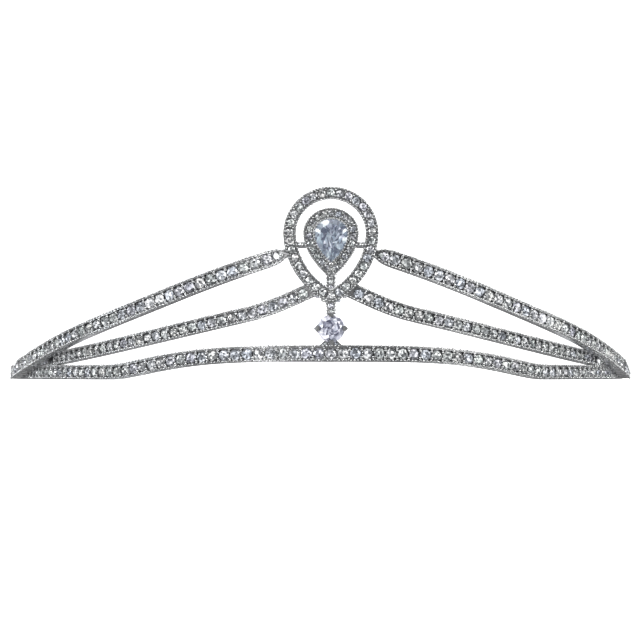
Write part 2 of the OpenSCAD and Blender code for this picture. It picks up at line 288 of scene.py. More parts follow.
RING = (RING_R, RING_UP, RING_DOWN, RING_POINT)
HALO = (HALO_R, HALO_UP, HALO_DOWN, HALO_POINT)
FRONT = Vector((0, -1, 0))


def on_face(p, depth):
    return Vector((p.x, BACK_Y - depth, RING_Z + p.z))


def drop_run(shape, count, shift=0.0):
    """Angles that share the outline into equal lengths, from its top round to its foot."""
    fine = [180 * i / 720 for i in range(721)]
    points = [drop_at(shape, a, shift)[0] for a in fine]
    total, run = 0.0, [0.0]
    for p, q in zip(points, points[1:]):
        total += (q - p).length
        run.append(total)
    angles, i = [], 0
    for n in range(count + 1):
        while i < 719 and run[i + 1] < total * n / count:
            i += 1
        s = clamped((total * n / count - run[i]) / max(run[i + 1] - run[i], 1e-9))
        angles.append(mix(fine[i], fine[i + 1], s))
    return angles, total


def drop_seats(shape, width, thickness):
    d = width * (1 - 2 * RAIL_SHARE) - 0.16
    total = drop_run(shape, 1)[1]
    angles = drop_run(shape, int(total / (d + 0.1)))[0]
    seats = []
    for a in angles:
        p, outward = drop_at(shape, a)
        seats.append({"at": on_face(p, thickness - 0.1), "out": FRONT, "up": outward, "size": d})
    return seats + other_side(seats[1:-1])


SEATS["ring"] = drop_seats(RING, RING_W, RING_T)
SEATS["cluster"] = drop_seats(HALO, HALO_W, HALO_T)
print("ring", len(SEATS["ring"]), "and cluster", len(SEATS["cluster"]), "stones")

# %% [markdown]
# ## Grain-set stones of the stem and neck
#
# Where the ring, the middle bands and the stem meet, the metal is a small plate that is
# drilled for stones of several sizes. Here each stone sits in the plate with its
# pavilion inside the metal, as in a drilled seat.


# %% Seats on the plate, the neck and the bands' roots
def plate_seat(x, z, d, depth):
    at = Vector((x, BACK_Y - depth, z))
    return {"at": at, "out": FRONT, "up": Vector((0, 0, 1)), "size": d}


foot_z = RING_Z - RING_DOWN
plate = [
    plate_seat(0, foot_z - 1.95, 1.25, BAND_T + 0.04),
    plate_seat(0, foot_z - 3.25, 1.05, BAND_T + 0.04),
    plate_seat(0, RING_Z - HALO_DOWN - 1.65, 1.05, BAND_T - 0.1),
    plate_seat(0, RING_Z - HALO_DOWN - 2.8, 0.95, BAND_T - 0.1),
    plate_seat(0, 7.25, 0.8, FOOT_DEPTH + 0.04),
]
for side in (-1, 1):
    plate.append(plate_seat(side * 1.5, foot_z - 0.75, 1.1, BAND_T + 0.04))
    plate.append(plate_seat(side * 2.75, foot_z - 0.12, 0.85, BAND_T + 0.04))
    plate.append(plate_seat(side * 1.05, 7.2, 0.75, FOOT_DEPTH + 0.04))
SEATS["plate"] = plate
print("plate, neck and foot stones:", len(plate))


# %% Seats on the plain ends and at the roots of the upper bands
def width_at(kind, length):
    """Full width of a band, and its width where the end narrows to a point."""
    full = WIDTH_OF[kind](angle_at(SPAN[kind], length))
    left = SPAN[kind][-1][0] - length
    if kind == "lower" or left > POINT_L:
        return full, full
    return full, mix(TIP_W[kind], full, left / POINT_L)


def end_seats(kind, places):
    seats = []
    for left in places:
        length = SPAN[kind][-1][0] - left
        point, out, up, _ = station(kind, angle_at(SPAN[kind], length))
        full, w = width_at(kind, length)
        sink = 0.2 if kind == "lower" else 0.02
        at = point - up * (full - w) / 2 - out * sink
        seats.append({"at": at, "out": out, "up": up, "size": w * 0.66})
    return seats


END_PLACES = (6.1, 4.4, 2.9, 1.7)
ends = [s for kind in ("lower", "middle", "upper") for s in end_seats(kind, END_PLACES)]
point, out, up, _ = station("upper", plan_angle(RING_R + RING_W / 2 + 0.45))
ends.append({"at": point - out * 0.02, "out": out, "up": up, "size": 0.95})
SEATS["ends"] = ends
print("end and root stones on each side:", len(ends))

# %% [markdown]
# ## The cut of the stones
#
# A full-cut stone has a table, eight stars, eight kites and sixteen upper girdle facets
# over eight mains and sixteen lower girdle facets. Modelling one cut in mesh code and
# repeating it is the only sensible way for hundreds of stones. The star and waist
# heights are worked out so that each kite is truly flat, as a lap would grind it.


# %% One cut for every outline
def cut_mesh(
    name, outline, centre, table, crown, pavilion, belt=0.0, star=0.8, waist=0.3, splits=()
):
    """A brilliant over an outline of an even number of points, given anticlockwise."""
    count = len(outline) // 2
    lean = math.cos(math.pi / count)
    star_h = crown * (1 - star * lean) / (1 - table)
    waist_h = pavilion * (1 - waist * lean)
    ring = [Vector(p) - Vector(centre) for p in outline]

    def level(points, share, height):
        return [(centre[0] + p.x * share, centre[1] + p.y * share, height) for p in points]

    rows = [
        level(ring[::2], table, crown),
        level(ring[1::2], star, star_h),
        level(ring, 1, 0),
    ]
    if belt:
        rows.append(level(ring, 1, -belt))
    rows.append(level(ring[1::2], waist, -belt - waist_h))
    rows.append([(centre[0], centre[1], -belt - pavilion)])
    inner = len(rows)
    for n, share in enumerate(splits):
        rows.append(level(ring[(n + 1) % 2 :: 2], table * share, crown))
    rows.append([(centre[0], centre[1], crown)])
    start = [sum(len(r) for r in rows[:i]) for i in range(len(rows))]
    t, s, g = start[:3]
    low = start[3] if belt else g
    w, culet, middle = start[inner - 2], start[inner - 1], start[-1]
    faces = []
    edge = t
    for n in range(len(splits)):
        for i in range(count):
            near = (i + n % 2) % count
            j, k = (near + 1) % count, (i + 1) % count
            faces.append((edge + near, edge + j, start[inner + n] + i))
            faces.append((edge + j, start[inner + n] + k, start[inner + n] + i))
        edge = start[inner + n]
    faces += [(edge + i, edge + (i + 1) % count, middle) for i in range(count)]
    for i in range(count):
        j, k = (i + 1) % count, (i - 1) % count
        a, b, c = 2 * i, 2 * i + 1, (2 * i + 2) % (2 * count)
        faces.append((t + j, t + i, s + i))
        faces.append((t + i, s + k, g + a, s + i))
        faces.append((s + i, g + a, g + b))
        faces.append((s + i, g + b, g + c))
        faces.append((w + i, low + b, low + a))
        faces.append((w + i, low + c, low + b))
        faces.append((w + i, low + a, w + k, culet))
        if belt:
            faces.append((g + b, g + a, low + a, low + b))
            faces.append((g + c, g + b, low + b, low + c))
    mesh = bpy.data.meshes.new(name)
    mesh.from_pydata([p for r in rows for p in r], [], faces)
    mesh.validate()
    return mesh


def circle(points, radius=0.5):
    turn = 2 * math.pi / points
    return [(radius * math.cos(turn * i), radius * math.sin(turn * i)) for i in range(points)]


small_cut = bpy.data.objects.new(
    "small_cut", cut_mesh("small_cut", circle(16), (0, 0), TABLE_SHARE, CROWN_SHARE, PAVILION_SHARE)
)
print("a small stone has", len(small_cut.data.polygons), "facets")

# %% [markdown]
# ## Node helpers
#
# The trees below are built by script, so two short helpers keep them readable. One adds
# a node with its settings and its inputs, the other runs a finished tree on a mesh and
# keeps the result as a plain mesh.


# %% Helpers for node trees
def add(tree, kind, settings=None, **inputs):
    """A node; each input is a socket to link from, or a value to set."""
    node = tree.nodes.new(kind)
    for key, value in (settings or {}).items():
        setattr(node, key, value)
    for key, value in inputs.items():
        name = key.replace("_", " ")
        socket = node.inputs[int(key[1:])] if key[1:].isdigit() else node.inputs[name]
        if isinstance(value, bpy.types.NodeSocket):
            tree.links.new(value, socket)
        else:
            socket.default_value = value
    return node


def new_tree(name, inputs):
    tree = bpy.data.node_groups.new(name, "GeometryNodeTree")
    tree.interface.new_socket("Geometry", in_out="INPUT", socket_type="NodeSocketGeometry")
    for label, kind in inputs.items():
        tree.interface.new_socket(label, in_out="INPUT", socket_type="NodeSocket" + kind)
    tree.interface.new_socket("Geometry", in_out="OUTPUT", socket_type="NodeSocketGeometry")
    return tree, tree.nodes.new("NodeGroupInput").outputs


def close_tree(tree, geometry):
    tree.links.new(geometry, tree.nodes.new("NodeGroupOutput").inputs[0])


def named(tree, name, kind):
    node = add(tree, "GeometryNodeInputNamedAttribute", {"data_type": kind}, Name=name)
    return node.outputs["Attribute"]


def chance(tree, low, high, seed):
    """A random number for each element, with a fixed seed."""
    node = add(tree, "FunctionNodeRandomValue", {"data_type": "FLOAT"}, i2=low, i3=high, i8=seed)
    return node.outputs[1]


def set_inputs(modifier, values):
    for item in modifier.node_group.interface.items_tree:
        if item.item_type == "SOCKET" and item.in_out == "INPUT" and item.name in values:
            modifier[item.identifier] = values[item.name]


def show(name, mesh):
    piece = bpy.data.objects.new(name, mesh)
    bpy.context.scene.collection.objects.link(piece)
    return piece


def run_tree(name, mesh, tree, **values):
    """Runs a tree on a mesh and returns the piece that it makes, as a plain mesh."""
    source = show("source", mesh)
    modifier = source.modifiers.new("make", "NODES")
    modifier.node_group = tree
    set_inputs(modifier, {key.replace("_", " "): value for key, value in values.items()})
    graph = bpy.context.evaluated_depsgraph_get()
    made = bpy.data.meshes.new_from_object(source.evaluated_get(graph), depsgraph=graph)
    bpy.data.objects.remove(source)
    made.name = name
    print(name, "has", len(made.polygons), "faces")
    return show(name, made)


# %% [markdown]
# ## Metal
#
# The metal is white gold, polished by hand and worn a little, so its gloss changes from
# place to place and fine scratches run across it. A plain mirror would look like a toy.
# Noise on the object's own coordinates varies colour and roughness, and a stretched
# noise gives the scratches as a very shallow bump.


# %% White gold
def new_material(name):
    material = bpy.data.materials.new(name)
    material.use_nodes = True
    tree = material.node_tree
    return material, tree, tree.nodes["Principled BSDF"]


def ramp(tree, factor, stops):
    node = add(tree, "ShaderNodeValToRGB", Fac=factor)
    elements = node.color_ramp.elements
    while len(elements) < len(stops):
        elements.new(0.5)
    for element, (place, colour) in zip(elements, stops):
        element.position = place
        element.color = (*colour, 1)
    return node.outputs["Color"]


def noise(tree, where, scale, detail=3.0):
    node = add(tree, "ShaderNodeTexNoise", Vector=where, Scale=scale, Detail=detail)
    return node.outputs["Fac"]


def between(tree, value, low, high):
    node = add(tree, "ShaderNodeMapRange", Value=value, To_Min=low, To_Max=high)
    return node.outputs["Result"]


def white_gold(name, dark, light, smooth, dull):
    material, tree, shader = new_material(name)
    where = tree.nodes.new("ShaderNodeTexCoord").outputs["Object"]
    tone = ramp(tree, noise(tree, where, 420.0), [(0.3, dark), (0.7, light)])
    tree.links.new(tone, shader.inputs["Base Color"])
    gloss = between(tree, noise(tree, where, 900.0, 5.0), smooth, dull)
    tree.links.new(gloss, shader.inputs["Roughness"])
    stretched = add(tree, "ShaderNodeMapping", Vector=where, Scale=(300.0, 300.0, 5200.0))
    marks = noise(tree, stretched.outputs["Vector"], 1.0, 6.0)
    bump = add(tree, "ShaderNodeBump", Strength=0.35, Distance=0.00002, Height=marks)
    tree.links.new(bump.outputs["Normal"], shader.inputs["Normal"])
    shader.inputs["Metallic"].default_value = 1.0
    return material


band_metal = white_gold("band_metal", (0.56, 0.57, 0.58), (0.80, 0.80, 0.81), 0.14, 0.38)
# The grains get a lighter copy of the same white gold: painted highlight on the beads and claws
lighter_painted_grains = white_gold("lighter_painted_grains", (0.68, 0.69, 0.70), (0.92, 0.92, 0.92), 0.10, 0.24)
print("made", band_metal.name, "and", lighter_painted_grains.name)

# %% [markdown]
# ## Stones
#
# Cut stones flash: one facet is white while its neighbour is black, and this changes
# with every facet. Clear glass alone needs thousands of light paths for that, and turns
# grey in a small picture. So each facet also carries painted light, a tone from painted
# shade to a painted glint given when the stones are made, and the glass is mixed with it.


# %% Cut glass with painted light and shade on each facet
def cut_glass(name, deep, middle, light, tints, clear, gloss, cells=0.0):
    material, tree, shader = new_material(name)
    where = tree.nodes.new("ShaderNodeTexCoord").outputs["Object"]
    facet = add(tree, "ShaderNodeAttribute", {"attribute_name": "facet"}).outputs["Fac"]
    stone = add(tree, "ShaderNodeAttribute", {"attribute_name": "tone"}).outputs["Fac"]
    if cells:
        cell = add(tree, "ShaderNodeTexVoronoi", Vector=where, Scale=1900.0).outputs["Color"]
        shift = between(tree, cell, -cells, cells)
        facet = add(tree, "ShaderNodeMath", {"operation": "ADD"}, i0=facet, i1=shift).outputs[0]
    # The facet value is painted light: painted shade at the low end, a painted glint at the top
    base = ramp(tree, facet, [(0.05, deep), (0.4, middle), (0.7, light), (0.97, (1, 1, 1))])
    tint = ramp(tree, stone, tints)
    mixed = add(
        tree,
        "ShaderNodeMix",
        {"data_type": "RGBA", "blend_type": "MULTIPLY"},
        i0=1.0,
        i6=base,
        i7=tint,
    )
    tree.links.new(mixed.outputs[2], shader.inputs["Base Color"])
    rough = between(tree, noise(tree, where, 1500.0), *gloss)
    tree.links.new(rough, shader.inputs["Roughness"])
    shader.inputs["IOR"].default_value = 2.42
    shader.inputs["Transmission Weight"].default_value = clear
    return material


white_tints = [
    (0.0, (0.86, 0.91, 1.0)),
    (0.3, (1.0, 1.0, 1.0)),
    (0.55, (0.92, 0.97, 0.94)),
    (0.75, (1.0, 0.99, 0.96)),
    (1.0, (0.90, 0.90, 1.0)),
]
# How rough the facets are at least and at most, and how strongly cells vary the painted light of a
# large stone
white_glass = cut_glass(
    "white_glass", (0.05, 0.053, 0.058), (0.17, 0.176, 0.184), (0.42, 0.43, 0.45),
    white_tints, 0.35, (0.03, 0.10),
)
blue_glass = cut_glass(
    "blue_glass", (0.05, 0.065, 0.11), (0.17, 0.20, 0.25), (0.33, 0.38, 0.44),
    [(0.0, (0.86, 0.93, 1.0)), (0.35, (0.95, 1.0, 0.98)), (0.65, (1, 1, 1)), (1.0, (0.95, 0.90, 1.0))],
    0.3, (0.16, 0.28), 0.2,
)
violet_glass = cut_glass(
    "violet_glass", (0.04, 0.045, 0.085), (0.26, 0.27, 0.325), (0.56, 0.57, 0.635),
    [(0.0, (0.88, 0.90, 1.0)), (0.5, (1, 1, 1)), (1.0, (0.96, 0.93, 1.0))],
    0.3, (0.14, 0.24), 0.2,
)
print("made", white_glass.name, blue_glass.name, violet_glass.name)

# %% [markdown]
# ## Setting the stones by Geometry Nodes
#
# A setter turns every stone a little differently. The tree puts a copy of the cut on
# each seat, faces it outwards, spins it by a random angle, gives each stone its tone, and
# paints light on each facet, a random painted glint and shade. Copying objects in a loop
# would work too, but a tree keeps the seats editable and ends in one mesh.


# %% Tree: a copy on each seat
def seat_tree():
    tree, given = new_tree(
        "set_on_seats",
        {"Copy": "Object", "Spin": "Float", "Tilt": "Float", "Seed": "Int", "Finish": "Material"},
    )
    turn = add(
        tree,
        "FunctionNodeAxesToRotation",
        {"primary_axis": "Z", "secondary_axis": "X"},
        Primary_Axis=named(tree, "out", "FLOAT_VECTOR"),
        Secondary_Axis=named(tree, "up", "FLOAT_VECTOR"),
    )
    reach = add(
        tree, "ShaderNodeCombineXYZ", X=given["Tilt"], Y=given["Tilt"], Z=given["Spin"]
    )
    any_way = add(
        tree, "FunctionNodeRandomValue", {"data_type": "FLOAT_VECTOR"},
        i0=(-1.0, -1.0, -1.0), i1=(1.0, 1.0, 1.0), i8=given["Seed"],
    )
    about = add(
        tree, "ShaderNodeVectorMath", {"operation": "MULTIPLY"},
        i0=reach.outputs[0], i1=any_way.outputs[0],
    )
    euler = add(tree, "FunctionNodeEulerToRotation", Euler=about.outputs[0])
    turned = add(
        tree, "FunctionNodeRotateRotation", {"rotation_space": "LOCAL"},
        i0=turn.outputs[0], i1=euler.outputs[0],
    )
    copy = add(tree, "GeometryNodeObjectInfo", Object=given["Copy"])
    placed = add(
        tree,
        "GeometryNodeInstanceOnPoints",
        Points=given["Geometry"],
        Instance=copy.outputs["Geometry"],
        Rotation=turned.outputs[0],
        Scale=named(tree, "size", "FLOAT"),
    )
    toned = add(
        tree,
        "GeometryNodeStoreNamedAttribute",
        {"data_type": "FLOAT", "domain": "INSTANCE"},
        Geometry=placed.outputs[0],
        Name="tone",
        Value=chance(tree, 0.0, 1.0, given["Seed"]),
    )
    real = add(tree, "GeometryNodeRealizeInstances", Geometry=toned.outputs[0])
    # Painted light for each facet: a random painted glint and shade, shifted by the seat's painted
    # light
    random_glint_paint = add(
        tree, "ShaderNodeMath", {"operation": "ADD"},
        i0=chance(tree, 0.0, 1.0, given["Seed"]), i1=named(tree, "flash", "FLOAT"),
    )
    faceted = add(
        tree,
        "GeometryNodeStoreNamedAttribute",
        {"data_type": "FLOAT", "domain": "FACE"},
        Geometry=real.outputs[0],
        Name="facet",
        Value=random_glint_paint.outputs[0],
    )
    finished = add(
        tree, "GeometryNodeSetMaterial", Geometry=faceted.outputs[0], Material=given["Finish"]
    )
    close_tree(tree, finished.outputs[0])
    return tree


def seat_mesh(name, seats):
    """Loose points that carry the directions and the size of each seat."""
    mesh = bpy.data.meshes.new(name)
    mesh.from_pydata([s["at"] * MM for s in seats], [], [])
    for key in ("out", "up"):
        data = mesh.attributes.new(key, "FLOAT_VECTOR", "POINT").data
        for item, s in zip(data, seats):
            item.vector = s[key]
    # Each seat also carries the light painted on its stone's facets: painted glints when positive,
    # painted shade when negative
    for key, scale in (("size", MM), ("flash", 1)):
        data = mesh.attributes.new(key, "FLOAT", "POINT").data
        for item, s in zip(data, seats):
            item.value = s.get(key, 0.0) * scale
    return mesh


on_seats = seat_tree()


def set_stones(name, seats, seed, node=None):
    piece = run_tree(
        name, seat_mesh(name, seats), on_seats, Copy=small_cut, Spin=0.35,
        Tilt=math.radians(5), Seed=seed, Finish=white_glass,
    )
    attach(piece, "root")
    if node:
        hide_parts(node)
    return piece


# %% Set every row
# Places on the upper bands whose stones get painted glints: side, x and reach in mm
PAINTED_GLINT_PLACES = (("left", 34.6, 3.4), ("right", 46.0, 2.8), ("right", 59.5, 1.2))


def lit(seats, side):
    """Gives painted glints to the stones near the listed places. Marks the stones that
    flash in the photo's light.
    """
    places = [(x, wide) for s, x, wide in PAINTED_GLINT_PLACES if s == side]
    return [
        dict(s, flash=0.3 if any(abs(abs(s["at"].x) - x) < wide for x, wide in places) else 0.0)
        for s in seats
    ]


set_stones("lower_band_stones", SEATS["lower"], 11, "lower_stones")
for side, turned in (("right", list), ("left", other_side)):
    for i, kind in enumerate(("middle", "upper")):
        seats = turned(SEATS[kind])
        if kind == "upper":
            seats = lit(seats, side)
        set_stones(f"{kind}_band_stones_{side}", seats, 21 + i + 5 * len(side), f"{kind}_stones_{side}")
# The ring's stones get a little painted shade, the cluster's stones more
set_stones("ring_stones", [dict(s, flash=-0.05) for s in SEATS["ring"]], 41)
set_stones("cluster_stones", [dict(s, flash=-0.17) for s in SEATS["cluster"]], 43)
set_stones("plate_stones", SEATS["plate"], 45)
set_stones("end_stones_right", SEATS["ends"], 46)
set_stones("end_stones_left", other_side(SEATS["ends"]), 47)

# %% [markdown]
# ## Bead edges
#
# Both rails of every band are worked into a line of tiny beads, which gives the silver
# edge its sparkle and its fine saw-tooth outline. Such an edge is rolled with a
# millgrain wheel. The tree spaces beads evenly along a rail and faces them outwards, so
# only the line of each rail is needed.


# %% Tree: beads along a rail
def bead_tree():
    tree, given = new_tree(
        "beads_along_rail",
        {"Pitch": "Float", "Radius": "Float", "Seed": "Int", "Finish": "Material"},
    )
    line = add(tree, "GeometryNodeMeshToCurve", Mesh=given["Geometry"])
    even = add(
        tree, "GeometryNodeResampleCurve", {"mode": "LENGTH"},
        Curve=line.outputs[0], Length=given["Pitch"],
    )
    ball = add(tree, "GeometryNodeMeshUVSphere", Segments=8, Rings=5, Radius=1.0)
    soft = add(tree, "GeometryNodeSetShadeSmooth", Geometry=ball.outputs["Mesh"])
    facing = add(
        tree, "FunctionNodeAlignRotationToVector", {"axis": "Z"},
        Vector=named(tree, "out", "FLOAT_VECTOR"),
    )
    size = add(
        tree, "ShaderNodeMath", {"operation": "MULTIPLY"},
        i0=chance(tree, 0.86, 1.08, given["Seed"]), i1=given["Radius"],
    )
    placed = add(
        tree,
        "GeometryNodeInstanceOnPoints",
        Points=even.outputs[0],
        Instance=soft.outputs[0],
        Rotation=facing.outputs[0],
        Scale=size.outputs[0],
    )
    real = add(tree, "GeometryNodeRealizeInstances", Geometry=placed.outputs[0])
    finished = add(
        tree, "GeometryNodeSetMaterial", Geometry=real.outputs[0], Material=given["Finish"]
    )
    close_tree(tree, finished.outputs[0])
    return tree


def rail_mesh(name, chains):
    """Chains of joined points, each an (at, out) pair; a closed chain repeats no point."""
    points, outs, edges = [], [], []
    for chain, closed in chains:
        base = len(points)
        points += [at * MM for at, _ in chain]
        outs += [out for _, out in chain]
        edges += [(base + i, base + i + 1) for i in range(len(chain) - 1)]
        if closed:
            edges.append((base + len(chain) - 1, base))
    mesh = bpy.data.meshes.new(name)
    mesh.from_pydata(points, edges, [])
    data = mesh.attributes.new("out", "FLOAT_VECTOR", "POINT").data
    for item, out in zip(data, outs):
        item.vector = out
    return mesh


along_rail = bead_tree()


def bead_line(name, chains, pitch, radius, seed, finish=lighter_painted_grains):
    piece = run_tree(
        name, rail_mesh(name, chains), along_rail,
        Pitch=pitch * MM, Radius=radius * MM, Seed=seed, Finish=finish,
    )
    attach(piece, "root")
    return piece


# %% Lines of the rails
def in_ring(p, room):
    """Is a point behind the ring's outline, widened by room?"""
    x, z = abs(p.x), p.z - RING_Z
    if z > 0:
        return (x / (RING_R + RING_W / 2 + room)) ** 2 + (z / (RING_UP + RING_W / 2 + room)) ** 2 < 1
    depth = RING_DOWN + RING_W / 2 + room
    if z < -depth:
        return False
    c = -z / depth
    return x < (RING_R + RING_W / 2 + room) * math.sqrt(1 - c * c) ** RING_POINT


def rail_line(kind, side, start, end, proud, sink):
    """Line on a rail, side 1 the upper and -1 the lower, from one length to another."""
    chain = []
    steps = int((end - start) / 0.5)
    for i in range(steps + 1):
        length = mix(start, end, i / steps)
        point, out, up, _ = station(kind, angle_at(SPAN[kind], length))
        full, w = width_at(kind, length)
        across = side * (w * (0.5 - RAIL_SHARE / 2) + proud) - (full - w) / 2
        at = point + up * across - out * sink
        if kind == "lower" or not in_ring(at, 0.1):
            chain.append((at, out))
    return chain


def other_chain(chain):
    return [(Vector((-p.x, p.y, p.z)), Vector((-o.x, o.y, o.z))) for p, o in chain]


BEAD_PITCH = 0.78
BEAD_R = 0.3
BEAD_END = 0.5
# How far the upper and the lower line stand past the middle of their rail
UPPER_PROUD, LOWER_PROUD, FLOOR_PROUD = 0.1, -0.02, -0.12
# How deep the beads sit, so that the ends stay within the width of the metal
BEAD_SINK, END_SINK = 0.05, 0.15
lower_l = SPAN["lower"][-1][0]
lower_lines = [
    (rail_line("lower", 1, BEAD_END, lower_l - BEAD_END, UPPER_PROUD, END_SINK), False),
    (rail_line("lower", -1, BEAD_END, lower_l - BEAD_END, FLOOR_PROUD, END_SINK), False),
]
bead_line("lower_band_beads", lower_lines, BEAD_PITCH, BEAD_R, 51)
for kind, seed in (("middle", 53), ("upper", 57)):
    end = SPAN[kind][-1][0] - BEAD_END
    upper_line = rail_line(kind, 1, 0.0, end, UPPER_PROUD, BEAD_SINK)
    lower_line = rail_line(kind, -1, 0.0, end, LOWER_PROUD, BEAD_SINK)
    lines = [(upper_line, False), (lower_line, False)]
    bead_line(f"{kind}_band_beads_right", lines, BEAD_PITCH, BEAD_R, seed)
    mirrored = [(other_chain(upper_line), False), (other_chain(lower_line), False)]
    bead_line(f"{kind}_band_beads_left", mirrored, BEAD_PITCH, BEAD_R, seed + 1)


# %% Lines of the ring and the cluster
def drop_line(shape, shift, depth):
    chain = []
    for i in range(120):
        p, _ = drop_at(shape, 3 * i, shift)
        chain.append((on_face(p, depth), FRONT))
    return chain


# Shares of the width between beads, and of the rail that a bead's radius takes
DROP_PITCH_SHARE, DROP_BEAD_SHARE = 0.27, 0.68
for name, shape, width, thickness, (inner, outer), seed in (
    ("ring_beads", RING, RING_W, RING_T, (0.14, -0.06), 61),
    ("cluster_beads", HALO, HALO_W, HALO_T, (0.0, 0.14), 63),
):
    reach = width * (1 - RAIL_SHARE) / 2
    lines = [
        (drop_line(shape, -reach - inner, thickness - BEAD_SINK), True),
        (drop_line(shape, reach + outer, thickness - BEAD_SINK), True),
    ]
    bead_line(name, lines, width * DROP_PITCH_SHARE, width * RAIL_SHARE * DROP_BEAD_SHARE, seed)

# %% Edges of the stem and the neck
def upright_line(x, z0, z1, depth):
    return [(Vector((x, BACK_Y - depth, mix(z0, z1, i / 8))), FRONT) for i in range(9)]


stem_low, stem_high = ROUND_Z + ROUND_R + 0.3, RING_Z - RING_DOWN - RING_W / 2 - 0.1
neck_low, neck_high = RING_Z - RING_DOWN + RING_W / 2 + 0.2, RING_Z - HALO_DOWN - HALO_W / 2 + 0.1
STEM_X, NECK_X = 0.8, 0.85
STEM_PITCH, STEM_BEAD_R = 0.6, 0.27
stem_lines = []
for side in (-1, 1):
    stem_lines.append((upright_line(side * STEM_X, stem_low, stem_high, BAND_T - 0.1), False))
    stem_lines.append((upright_line(side * NECK_X, neck_low, neck_high, BAND_T - 0.25), False))
bead_line("stem_beads", stem_lines, STEM_PITCH, STEM_BEAD_R, 67)

# %% [markdown]
# ## Claws between the stones
#
# At every joint of two stones a pair of grains is raised from the metal and pushed over
# both girdles. They are made once, as a short pin with a rounded head, and set by the
# same tree as the stones.


# %% Claws
def pin_mesh(name, sides=8):
    """A pin of unit diameter: head at the top, foot well down in the metal."""
    profile = [(0.5, -1.6), (0.5, 0.1), (0.42, 0.32), (0.22, 0.46)]
    points = []
    for r, z in profile:
        for i in range(sides):
            turn = 2 * math.pi * i / sides
            points.append((r * math.cos(turn), r * math.sin(turn), z))
    points.append((0, 0, 0.5))
    faces = []
    for k in range(len(profile) - 1):
        for i in range(sides):
            j = (i + 1) % sides
            a, b = k * sides, (k + 1) * sides
            faces.append((a + i, a + j, b + j, b + i))
    top = (len(profile) - 1) * sides
    faces += [(top + i, top + (i + 1) % sides, top + sides) for i in range(sides)]
    faces.append(tuple(range(sides - 1, -1, -1)))
    mesh = bpy.data.meshes.new(name)
    mesh.from_pydata(points, [], faces)
    for polygon in mesh.polygons:
        polygon.use_smooth = len(polygon.vertices) < 5
    return mesh


pin = bpy.data.objects.new("pin", pin_mesh("pin"))


# Where the four claws of a joint stand, as shares of the stone, and how wide they are
CLAW_ROW = ((-0.5, 0.5), (-0.31, 0.55), (0.31, 0.55), (0.5, 0.5))
DROP_CLAW_D, DROP_CLAW_SHARE = 0.42, 0.38


def claws_of(kind):
    claws = []
    lengths = ROW[kind]
    for l0, l1 in zip(lengths, lengths[1:]):
        a = angle_at(SPAN[kind], (l0 + l1) / 2)
        point, out, up, _ = station(kind, a)
        d = stone_d(kind, a)
        for share, size in CLAW_ROW:
            at = point + up * share * d + out * 0.02
            claws.append({"at": at, "out": out, "up": up, "size": size})
    return claws


def drop_claws(shape, width, thickness):
    d = width * (1 - 2 * RAIL_SHARE) - 0.16
    total = drop_run(shape, 1)[1]
    count = int(total / (d + 0.1))
    angles = drop_run(shape, count)[0]
    claws = []
    for a0, a1 in zip(angles, angles[1:]):
        for side in (-1, 1):
            p, outward = drop_at(shape, (a0 + a1) / 2, side * d * DROP_CLAW_SHARE)
            at = on_face(p, thickness - 0.02)
            claws.append({"at": at, "out": FRONT, "up": outward, "size": DROP_CLAW_D})
    return claws + other_side(claws)


def set_claws(name, seats, seed):
    piece = run_tree(
        name, seat_mesh(name, seats), on_seats, Copy=pin, Spin=3.0,
        Tilt=math.radians(8), Seed=seed, Finish=lighter_painted_grains,
    )
    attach(piece, "root")
    return piece


set_claws("lower_band_claws", claws_of("lower"), 71)
middle_claws, upper_claws = claws_of("middle"), claws_of("upper")
set_claws("right_band_claws", middle_claws + upper_claws, 73)
set_claws("left_band_claws", other_side(middle_claws + upper_claws), 75)
set_claws("ring_claws", drop_claws(RING, RING_W, RING_T), 77)
# A grain on each bar, and the claw over the point of the pear
BAR_GRAIN = (BAR_DROP, 2.0, 1.2)
POINT_CLAW = (6.25, PEAR_SEAT - 0.1, 1.15)
big_grains = [
    {"at": Vector((x, BACK_Y - depth, RING_Z - down)), "out": FRONT, "up": Vector((0, 0, 1)),
     "size": size}
    for x, (down, depth, size) in ((-BAR_X, BAR_GRAIN), (BAR_X, BAR_GRAIN), (0.0, POINT_CLAW))
]
set_claws("cluster_claws", drop_claws(HALO, HALO_W, HALO_T) + big_grains, 79)

# %% [markdown]
# ## The pear stone and the round stone
#
# The two large stones carry the eye. Each gets its own cut, richer than the CAD's, and
# the painted light of its facets is chosen from where they lie: the pear has a painted
# highlight at its upper left with a painted dark reflection under it, and a paler painted
# reflection on its right flank.


# %% Large stones
def large_stone(name, outline, centre, place, cut, finish, facet_paint_at, seed, node):
    table, crown, pavilion, star = cut
    mesh = cut_mesh(
        name, outline, centre, table, crown, pavilion, 0.12, star, splits=(0.74, 0.44)
    )
    for v in mesh.vertices:
        v.co = Vector((v.co.x, place[0] - v.co.z, place[1] + v.co.y)) * MM
    mesh.materials.append(finish)
    mesh.update()
    draw = random.Random(seed)
    facet = mesh.attributes.new("facet", "FLOAT", "FACE").data
    tone = mesh.attributes.new("tone", "FLOAT", "FACE").data
    for polygon in mesh.polygons:
        middle = polygon.center / MM
        # Each facet's painted light comes from where it lies, with a random spread
        mean, spread = facet_paint_at(middle.x, middle.z - place[1])
        facet[polygon.index].value = clamped(mean + spread * draw.uniform(-1, 1))
        tone[polygon.index].value = draw.random()
    piece = show(name, mesh)
    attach(piece, "root")
    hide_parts(node)
    print(name, "has", len(mesh.polygons), "facets")
    return piece


def spot(x, z, place, wide):
    return math.exp(-((x - place[0]) ** 2 + (z - place[1]) ** 2) / wide)


